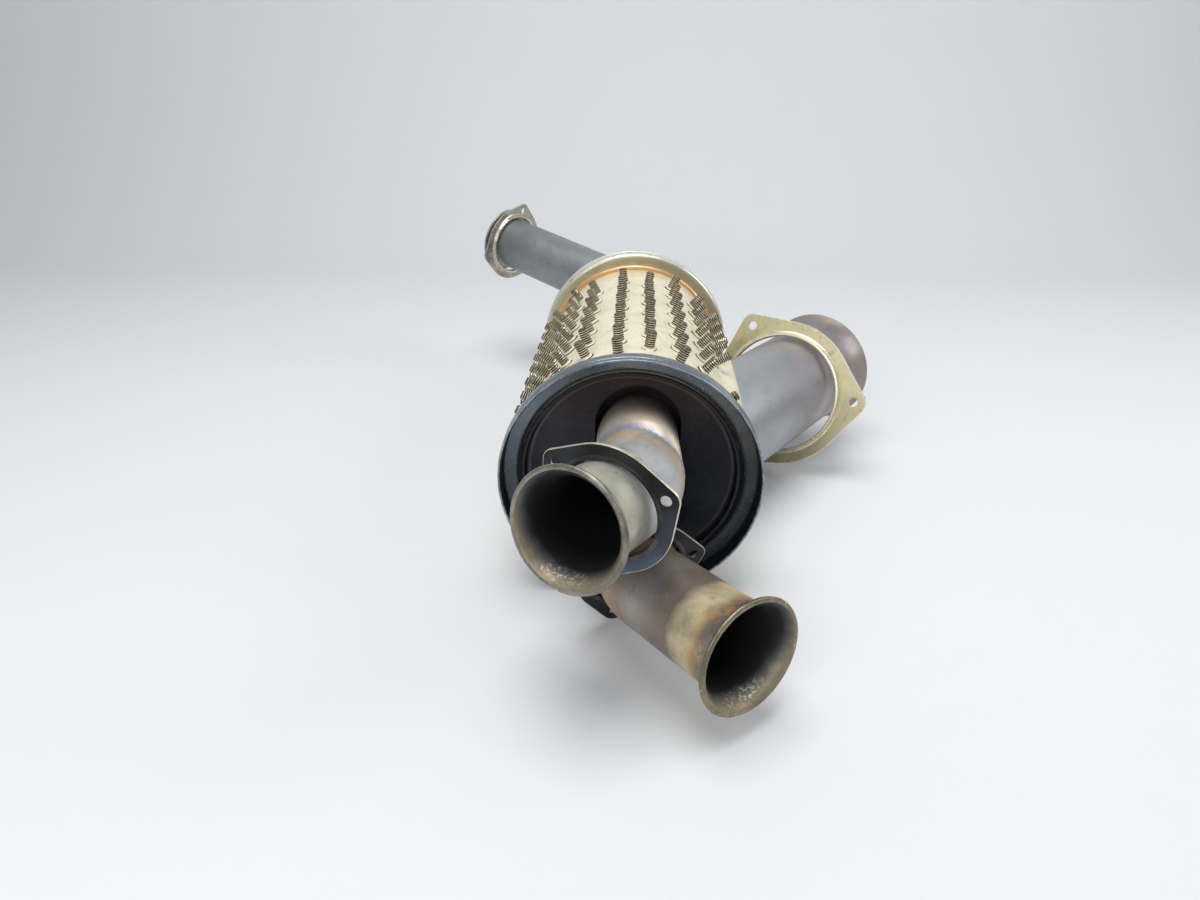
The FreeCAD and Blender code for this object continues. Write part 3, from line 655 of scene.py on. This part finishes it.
oneStud = stud()
gap = (360 + studs["seen"][0] - studs["seen"][-1]) / (studs["hidden"] + 1)
angles = studs["seen"] + [studs["seen"][-1] + gap * (step + 1) for step in range(studs["hidden"])]
chance = random.Random(studs["seed"])
rowsMade = 0
for number, angle in enumerate(angles):
    count, shift = (7, 0.5) if number % 2 else (8, 0)
    signed = angle if angle < 180 else angle - 360
    first = studs["start"] + studs["drift"] * round(signed, 1)
    spots = [first + studs["pitch"] * (step + shift) for step in range(count)]
    spots = [spot for spot in spots if clearOfOutlet(angle, spot)]
    if spots:
        rowsMade += 1
        studRow(f"studs{rowsMade:02d}", f"stud_row_{rowsMade:02d}", angle, spots, chance)
studRow("loneStud", "lone_stud", studs["loneAngle"], [studs["loneFrom"]], chance)
bpy.data.meshes.remove(oneStud)
print("studs ready:", rowsMade, "rows")

# Inlet pipes
tube = {
    "radius": 23.8, "wall": 1.2, "bend": 36.0, "flare": 30.8, "flareLength": 19.0, "curve": 3.2, "sides": 80,
    "inset": 7.0, "upperInset": 21.0,  # how far a stub reaches into the can behind its root
    "spare": 24.6,  # extra length for the slanted cut
    # the inner part of each lip takes the mouth's soot and painted shade
    "dents": 0.18, "eased": 0.3, "sootAndShadeLip": 2.2,
}
seamWeld = {"radius": tube["radius"] + 0.05, "width": 2.0, "height": 0.35, "lumps": 40}
# The middle line of each pipe, how far the weld lies from its root, how rusty it is, and its lip's colour
pipes = {
    "upper": {"root": (3.9, 17.5, 19.4), "corner": (5.0, -41.0, 22.8), "mouth": (-27.1, -102.3, 33.3),
              "seam": 36.0, "rust": 0.25, "lip": (0.32, 0.30, 0.25)},
    "lower": {"root": (-10.0, 17.5, -33.2), "corner": (8.5, -41.0, -36.7), "mouth": (58.5, -108.3, -29.4),
              "seam": 40.0, "rust": 1.0, "lip": (0.30, 0.25, 0.165)},
    "rear": {"root": (2.0, 241.5, 20.0), "corner": (0.0, 318.0, 21.6), "mouth": (-132.8, 413.1, 51.5),
             "seam": 50.0, "rust": 0.0, "lip": (0.32, 0.32, 0.30)},
}
seamSkew = math.radians(26)
skew = Vector((-math.sin(seamSkew), -math.cos(seamSkew), 0))  # square to the upper pipe's slanted weld


def pipePaint(pipe, legStops, seamStops, patch):
    seamAt = pipe["root"] + pipe["out"] * pipe["seam"]
    normal = skew if pipe["slanted"] else pipe["out"]

    def paint(tree):
        back = distance(tree, pipe["mouth"], -pipe["leg"], 1.6)
        heat = distance(tree, seamAt, normal, 0.8)
        near = ramp(tree, heat, [(-45, 1.0), (10, 1.0), (32, 0.0), (45, 0.0)])
        uneven = blotch(tree, 22, 0.48, 0.10, 4.0)
        uneven = add(tree, "ShaderNodeMapRange", {"Value": uneven, "To Min": 0.6}).outputs[0]
        near = times(tree, near, uneven)
        tone = mix(tree, near, ramp(tree, back, legStops), ramp(tree, heat, seamStops))
        rust = ramp(tree, back, [(0, 0.1), (9, 0.9), (20, 0.7), (34, 0.0)])
        rust = times(tree, blotch(tree, 3.2, 0.49, 0.06, 1.0), rust)
        rust = times(tree, rust, blotch(tree, 17, 0.53, 0.06, 9.0))
        tone = mix(tree, times(tree, rust, pipe["rust"]), tone, (0.62, 0.33, 0.08))
        tone = mix(tree, times(tree, blotch(tree, 16, 0.52, 0.12, 3.0), patch[0]), tone, patch[1])
        tone = mix(tree, times(tree, blotch(tree, 30, 0.52, 0.10, 5.0), patch[2]), tone, patch[3])
        specks = times(tree, blotch(tree, 5, 0.64, 0.06, 6.0), 0.35)
        return mix(tree, specks, tone, (0.12, 0.10, 0.085))
    return paint


def mouthPaint(pipe):
    up = Vector((0, 0, 1))
    up = (up - pipe["leg"] * up.dot(pipe["leg"])).normalized()

    def paint(tree):
        # soot and painted shade: the bore darkens inwards, and the top counts as deeper because its inner
        # wall lies in shade
        depth = distance(tree, pipe["mouth"], -pipe["leg"] + up * 0.20, 1.4)
        tone = ramp(tree, depth, [
            (-7, (0.34, 0.285, 0.19)), (-1, (0.27, 0.225, 0.155)), (1.5, (0.15, 0.135, 0.115)),
            (4, (0.060, 0.060, 0.064)), (6.5, (0.014, 0.014, 0.016)), (10, (0.005, 0.005, 0.006)),
            (45, (0.004, 0.004, 0.004)),
        ])
        stain = times(tree, blotch(tree, 7, 0.52, 0.10, 2.0), ramp(tree, depth, [(-7, 0.5), (4, 0.0)]))
        tone = mix(tree, stain, tone, (0.11, 0.085, 0.055))
        # painted highlight: small bright glints low in the bore, near the edge of the black
        lowest = distance(tree, pipe["mouth"] - up * 20, -up, 0.5)
        glint = ramp(tree, depth, [(-4, 0.0), (-1, 0.8), (3, 1.0), (6, 0.0)])
        glint = times(tree, glint, ramp(tree, lowest, [(0, 0.0), (6, 1.0)]))
        glint = times(tree, glint, blotch(tree, 1.6, 0.585, 0.07, 8.0))
        tone = mix(tree, glint, tone, (0.88, 0.86, 0.76))
        dull = ramp(tree, depth, [(-7, 0.1), (0, 0.35), (12, 1.0)])
        return tone, times(tree, dull, math2(tree, "SUBTRACT", 1.0, glint))
    return paint


def lipPaint(pipe):
    def paint(tree):
        shade = tuple(0.55 * part for part in pipe["lip"])
        tone = mix(tree, blotch(tree, 12, 0.5, 0.12), pipe["lip"], shade)
        return mix(tree, blotch(tree, 2.5, 0.68, 0.05, 4.0), tone, (0.55, 0.51, 0.43))
    return paint


# Outer skin of flare, leg, bend and the straight back of it, with Z out of the mouth and the bend to -X.
def bentTube(leg, bend, back):
    bm = bmesh.new()
    radius, rise, long = tube["radius"], tube["flare"] - tube["radius"], tube["flareLength"]
    bow = (long ** 2 + rise ** 2) / (2 * rise)
    tip = bm.verts.new((tube["flare"], 0, 0))
    spun = bmesh.ops.spin(bm, geom=[tip], cent=(radius + bow, 0, -long), axis=(0, 1, 0),
                          angle=-math.asin(long / bow), steps=9)
    last = vertsOf(spun["geom_last"])[0]
    stops = 6
    for number in range(stops):
        last = bmesh.ops.extrude_vert_indiv(bm, verts=[last])["verts"][0]
        last.co = (radius, 0, -long - (leg - long) * (number + 1) / stops)
    for vert in bm.verts:
        depth = min(max(-vert.co.z / long, 0.0), 1.0)
        vert.co.x = radius + rise * (1 - depth) ** tube["curve"]  # tighter than an arc near the mouth
        if depth < 0.05:
            vert.co.x, vert.co.z = tube["flare"] - 1.7, -1.8  # the rolled lip covers this edge
    bmesh.ops.spin(bm, geom=bm.verts[:] + bm.edges[:], cent=(0, 0, 0), axis=(0, 0, 1), angle=2 * math.pi,
                   steps=tube["sides"], use_merge=True, use_duplicate=False)
    bmesh.ops.remove_doubles(bm, verts=bm.verts[:], dist=0.001)
    ring = [edge for edge in bm.edges if all(abs(vert.co.z + leg) < 0.01 for vert in edge.verts)]
    swept = ring + list({vert for edge in ring for vert in edge.verts})
    spun = bmesh.ops.spin(bm, geom=swept, cent=(-tube["bend"], 0, -leg), axis=(0, 1, 0), angle=bend,
                          steps=max(4, round(bend * 14)))
    grown = bmesh.ops.extrude_edge_only(bm, edges=edgesOf(spun["geom_last"]))["geom"]
    bmesh.ops.translate(bm, vec=Vector((-math.sin(bend), 0, -math.cos(bend))) * back, verts=vertsOf(grown))
    bmesh.ops.remove_doubles(bm, verts=bm.verts[:], dist=0.001)
    straight = next(face for face in bm.faces if -leg < face.calc_center_median().z < -long)
    middle = straight.calc_center_median()
    facesOut(bm, straight, Vector((middle.x, middle.y, 0)))
    return bm


# Small dents and bows, so that the tube isn't perfectly true.
def worn(bm, amount, seed):
    for vert in bm.verts:
        spot = vert.co * 0.02
        shifts = (Vector((seed, 0, 0)), Vector((0, seed, 0)), Vector((0, 0, seed)))
        vert.co += Vector([noise.noise(spot + shift) for shift in shifts]) * amount


# Cuts a tube along its slanted weld and keeps one side.
def cutAskew(bm, into, seamAt, **clear):
    whole = bm.verts[:] + bm.edges[:] + bm.faces[:]
    bmesh.ops.bisect_plane(bm, geom=whole, plane_co=into.inverted() @ seamAt,
                           plane_no=into.to_3x3().transposed() @ skew, **clear)


for name, pipe in pipes.items():
    for key in ("root", "corner", "mouth"):
        pipe[key] = Vector(pipe[key])
    pipe["out"] = (pipe["corner"] - pipe["root"]).normalized()
    pipe["leg"] = (pipe["mouth"] - pipe["corner"]).normalized()
    pipe["slanted"] = name == "upper"

# How far the rolled lip's outline lies inside the flare's radius, and how far behind the mouth
lipOutline = [
    (0.0, 1.2), (0.25, 0.5), (0.8, 0.1), (1.6, 0.0), (2.5, 0.25), (3.4, 0.85), (4.2, 1.75),
    (5.0, 2.95), (5.8, 4.5), (6.4, 6.0), (6.8, 7.3), (6.2, 7.4), (5.2, 5.2), (2.8, 2.4), (1.9, 2.5),
    (1.0, 2.5), (0.3, 2.0),
]
# Tones back from the mouth, tones across the weld, and strength and tone of two kinds of patches
palettes = {
    "upper": (
        [
            (0, (0.46, 0.45, 0.36)), (9, (0.65, 0.64, 0.49)), (26, (0.58, 0.59, 0.47)),
            (45, (0.48, 0.51, 0.52)), (70, (0.50, 0.54, 0.57)), (160, (0.52, 0.55, 0.58)),
        ],
        [
            (-45, (0.68, 0.63, 0.48)), (-22, (0.74, 0.62, 0.44)), (-9, (0.66, 0.50, 0.35)),
            (-4, (0.42, 0.37, 0.44)), (0, (0.33, 0.30, 0.38)), (3, (0.52, 0.47, 0.44)),
            (9, (0.86, 0.61, 0.30)), (17, (0.68, 0.57, 0.44)), (30, (0.49, 0.53, 0.57)),
            (45, (0.50, 0.54, 0.57)),
        ],
        (0.35, (0.74, 0.66, 0.50), 0.30, (0.44, 0.46, 0.54)),
    ),
    "lower": (
        [
            (0, (0.28, 0.24, 0.18)), (8, (0.17, 0.16, 0.17)), (12, (0.24, 0.19, 0.16)),
            (15, (0.52, 0.36, 0.17)), (20, (0.72, 0.62, 0.36)), (30, (0.68, 0.59, 0.36)),
            (35, (0.19, 0.145, 0.11)), (46, (0.22, 0.19, 0.17)), (62, (0.36, 0.345, 0.32)),
            (75, (0.30, 0.25, 0.215)), (88, (0.46, 0.28, 0.13)), (105, (0.23, 0.20, 0.22)),
            (160, (0.25, 0.25, 0.28)),
        ],
        [
            (-45, (0.20, 0.20, 0.22)), (-9, (0.30, 0.22, 0.14)), (0, (0.15, 0.13, 0.14)),
            (9, (0.40, 0.26, 0.13)), (45, (0.25, 0.22, 0.24)),
        ],
        (0.50, (0.30, 0.21, 0.13), 0.30, (0.17, 0.16, 0.20)),
    ),
    "rear": (
        [
            (0, (0.28, 0.28, 0.27)), (18, (0.20, 0.22, 0.225)), (60, (0.24, 0.27, 0.275)),
            (110, (0.27, 0.30, 0.305)), (160, (0.30, 0.33, 0.335)),
        ],
        [
            (-45, (0.30, 0.33, 0.335)), (0, (0.22, 0.23, 0.235)), (45, (0.30, 0.33, 0.335)),
        ],
        (0.20, (0.20, 0.22, 0.22), 0.15, (0.36, 0.38, 0.375)),
    ),
}
for name, pipe in pipes.items():
    node = f"{name}_inlet"
    bend = pipe["out"].angle(pipe["leg"])
    tangent = tube["bend"] * math.tan(bend / 2)
    stubLength = (pipe["corner"] - pipe["root"]).length - tangent
    leg = (pipe["mouth"] - pipe["corner"]).length - tangent
    spare = tube["spare"] if pipe["slanted"] else 0
    seamAt = pipe["root"] + pipe["out"] * pipe["seam"]
    paint = pipePaint(pipe, *palettes[name])
    outside = finish(name + "PipeSteel", paint, (0.36, 0.52), 0.55, 0.35, 0.25, 0.2, 0.08)
    inside = finish(name + "MouthSootAndShade", mouthPaint(pipe), (0.42, 0.6), 0.7, 0.8, 0.6, 0.0, 0.25)

    bm = bentTube(leg, bend, stubLength - pipe["seam"] + spare)
    worn(bm, tube["dents"], len(name))
    into = axesAt(pipe["mouth"], pipe["leg"], pipe["out"] - pipe["leg"] * math.cos(bend))
    if pipe["slanted"]:
        cutAskew(bm, into, seamAt, clear_inner=True)
    elbow = finishPiece(bm, name + "Elbow", [outside, inside], [node + "_elbow"], 60, into)
    thicken(elbow, tube["wall"], 1)
    ease(elbow, tube["eased"], 60)

    inset = tube["upperInset"] if pipe["slanted"] else tube["inset"]
    bm = bmesh.new()
    long = inset + pipe["seam"] + spare
    bmesh.ops.create_cone(bm, segments=tube["sides"], depth=long, radius1=tube["radius"],
                          radius2=tube["radius"])
    bmesh.ops.translate(bm, vec=(0, 0, long / 2), verts=bm.verts[:])
    into = axesAt(pipe["root"] - pipe["out"] * inset, pipe["out"])
    if pipe["slanted"]:
        cutAskew(bm, into, seamAt, clear_outer=True)
    side = bm.faces[:][0]
    facesOut(bm, side, Vector((*side.calc_center_median().xy, 0)))
    stub = finishPiece(bm, name + "Stub", [outside, inside], [node + "_stub"], 60, into)
    thicken(stub, tube["wall"], 1)

    into = axesAt(seamAt, pipe["out"])
    slant = into.to_3x3().transposed() @ skew if pipe["slanted"] else None
    weldBead(name + "Seam", into, seamWeld, [outside], slant, len(name))

    bm = lathe([(tube["flare"] - inwards, -deep) for inwards, deep in lipOutline], tube["sides"])
    for face in bm.faces:
        if face.calc_center_median().xy.length < tube["flare"] - tube["sootAndShadeLip"]:
            face.material_index = 1
    worn(bm, tube["dents"], len(name))
    into = axesAt(pipe["mouth"], pipe["leg"], pipe["out"] - pipe["leg"] * math.cos(bend))
    lipSteel = finish(name + "LipSteel", lipPaint(pipe), (0.26, 0.42), 0.8, 0.5, 0.4, 0.1, 0.15)
    finishPiece(bm, name + "Lip", [lipSteel, inside], (), 80, into)
print("inlet pipes ready")

# Outlet: pipe, neck and the drawn foot round the hole in the shell
outletAcross = Vector((outlet["way"].y, -outlet["way"].x, 0))
outletInto = axesAt(outlet["mouth"], outlet["way"], outletAcross)
cadCopy("outlet_pipe", [outletSteel], 40)
cadCopy("outlet_neck", [cream])


# The point at that radius and turn round the outlet's axis that lies lift above the shell.
def onCan(radius, turn, lift):
    foot = outlet["mouth"] + (outletAcross * math.cos(turn) + Vector((0, 0, 1)) * math.sin(turn)) * radius
    reach = can["shell"] + lift
    rest = max(reach ** 2 - foot.z ** 2, 0.0)
    return foot + outlet["way"] * ((math.sqrt(rest) - foot.x) / outlet["way"].x)


bm = bmesh.new()
bmesh.ops.create_circle(bm, segments=96, radius=10, matrix=outletInto)
ring, edges = bm.verts[:], bm.edges[:]
for number, (radius, lift) in enumerate(outlet["foot"]):
    if number:
        grown = bmesh.ops.extrude_edge_only(bm, edges=edges)["geom"]
        ring = vertsOf(grown)
        edges = [edge for edge in edgesOf(grown) if set(edge.verts) <= set(ring)]
    for vert in ring:
        step = vert.co - outlet["mouth"]
        vert.co = onCan(radius, math.atan2(step.z, step.dot(outletAcross)), lift)
first = bm.faces[:][0]
step = first.calc_center_median() - outlet["mouth"]
facesOut(bm, first, step - outlet["way"] * step.dot(outlet["way"]))
foot = finishPiece(bm, "neckFoot", [cream], (), 60)
thicken(foot, outlet["footWall"])
print("outlet ready")

# Loose flanges and what lies inside
flanges = {
    "small": {"plate": 1.6, "disc": 35.1, "reach": 33.4, "ear": 6.85, "bore": 26.4, "hub": 2.8, "rise": 2.6,
              "hole": 2.8},
    "large": {"plate": 2.2, "disc": 55.8, "reach": 57.7, "ear": 9.2, "bore": 44.0, "hub": 2.8, "rise": 3.0,
              "hole": 3.4},
}


def circlePoints(centre, radius, steps):
    return [Vector((centre[0] + radius * math.cos(2 * math.pi * step / steps),
                    centre[1] + radius * math.sin(2 * math.pi * step / steps))) for step in range(steps)]


# Plate with three ears and a rolled hub on its back. Materials: face, cut edge, hub.
def looseFlange(name, node, kind, place, way, ear, materials, slot):
    form = flanges[kind]
    half, bore, hub, rise = form["plate"] / 2, form["bore"], form["hub"], form["rise"]
    turns = (0, 2 * math.pi / 3, 4 * math.pi / 3)
    ears = [(form["reach"] * math.cos(turn), form["reach"] * math.sin(turn)) for turn in turns]
    rim = circlePoints((0, 0), form["disc"], 144)
    for spot in ears:
        rim += circlePoints(spot, form["ear"], 48)
    outline = [rim[index] for index in geometry.convex_hull_2d(rim)]
    loops = [outline, circlePoints((0, 0), bore + hub * 0.6, 96)]
    loops += [circlePoints(spot, form["hole"], 24) for spot in ears]
    bm = bmesh.new()
    for loop in loops:
        spots = [bm.verts.new((*spot, -half)) for spot in loop]
        for first, second in zip(spots, spots[1:] + spots[:1]):
            bm.edges.new((first, second))
    bmesh.ops.triangle_fill(bm, use_beauty=True, edges=bm.edges[:], normal=(0, 0, 1))
    grown = bmesh.ops.extrude_face_region(bm, geom=bm.faces[:])["geom"]
    bmesh.ops.translate(bm, vec=(0, 0, 2 * half), verts=vertsOf(grown))
    bmesh.ops.recalc_face_normals(bm, faces=bm.faces[:])
    for face in bm.faces:
        face.material_index = 0 if abs(face.normal.z) > 0.9 else 1
    corners = [edge for edge in bm.edges if edge.calc_face_angle(0) > 1.2]
    bmesh.ops.bevel(bm, geom=corners, offset=form["plate"] * 0.22, segments=2, affect="EDGES", profile=0.6,
                    material=1)
    for face in bm.faces:
        middle = face.calc_center_median().xy
        fromHole = min((middle - Vector(spot)).length for spot in ears)
        if abs(face.normal.z) > 0.2 and fromHole < form["hole"] + 1:
            face.material_index = 0
    roll = lathe([
        (bore, half * 0.2), (bore + 0.4, half * 0.85), (bore + hub * 0.5, half + 0.06),
        (bore + hub, half + 0.05), (bore + hub + 0.4, half - 0.2), (bore + hub + 1.3, 0.2 - half),
        (bore + hub + 1.1, -half - 0.06), (bore + hub + 0.35, -half - 0.35), (bore + hub, -half - 0.9),
        (bore + hub, -half - rise * 0.55), (bore + hub * 0.82, -half - rise * 0.9),
        (bore + hub * 0.5, -half - rise), (bore + hub * 0.18, -half - rise * 0.92),
        (bore, -half - rise * 0.6),
    ], 96)
    for face in roll.faces:
        face.material_index = 2
    joinInto(bm, roll)
    into = axesAt(place, way, ear)
    finishPiece(bm, name, materials, [node], 35, into, into.to_3x3() @ Vector((0, 0, 1)))


upperSpot = pipes["upper"]["mouth"] - pipes["upper"]["leg"] * 36 + Vector((0, 0, -1.6))
lowerSpot = pipes["lower"]["root"] + pipes["lower"]["out"] * 50 + Vector((-0.5, 0, -0.6))
rearSpot = pipes["rear"]["mouth"] - pipes["rear"]["leg"] * 11 + Vector((0, 0, -0.8))
# Node, kind, middle, the way its front looks, where one ear points, materials, slot
hung = {
    "upperFlange": ("upper_inlet_flange", "small", upperSpot, (-0.406, -0.911, -0.03), (-0.75, 0.29, 0.60),
                    [darkFlange, brightEdge, darkHub], "flange_steel"),
    "lowerFlange": ("lower_inlet_flange", "small", lowerSpot, (0.285, -0.935, -0.208), (-0.62, -0.18, 0.757),
                    [darkFlange, brightEdge, darkHub], "flange_steel"),
    "rearFlange": ("rear_inlet_flange", "small", rearSpot, (-0.80, 0.59, 0.12), (0.34, 0.55, -0.77),
                   [paleFlange, brightEdge, brightEdge], "flange_steel"),
    "outletFlange": ("outlet_flange", "large", (115.0, 187.0, -17.75), (0.473, 0.819, -0.326),
                     (0.866, -0.49, 0.08), [platedSteel, platedHub, platedHub], "flange_plated"),
}
for name, placed in hung.items():
    looseFlange(name, *placed)
for node in ("perforated_tube", "front_baffle", "rear_baffle"):
    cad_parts[node].data.materials.clear()
    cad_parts[node].data.materials.append(sootyInside)
print("flanges ready")

size = {"cad": [list(corner) for corner in cadBox], "scene": [list(corner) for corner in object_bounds()]}
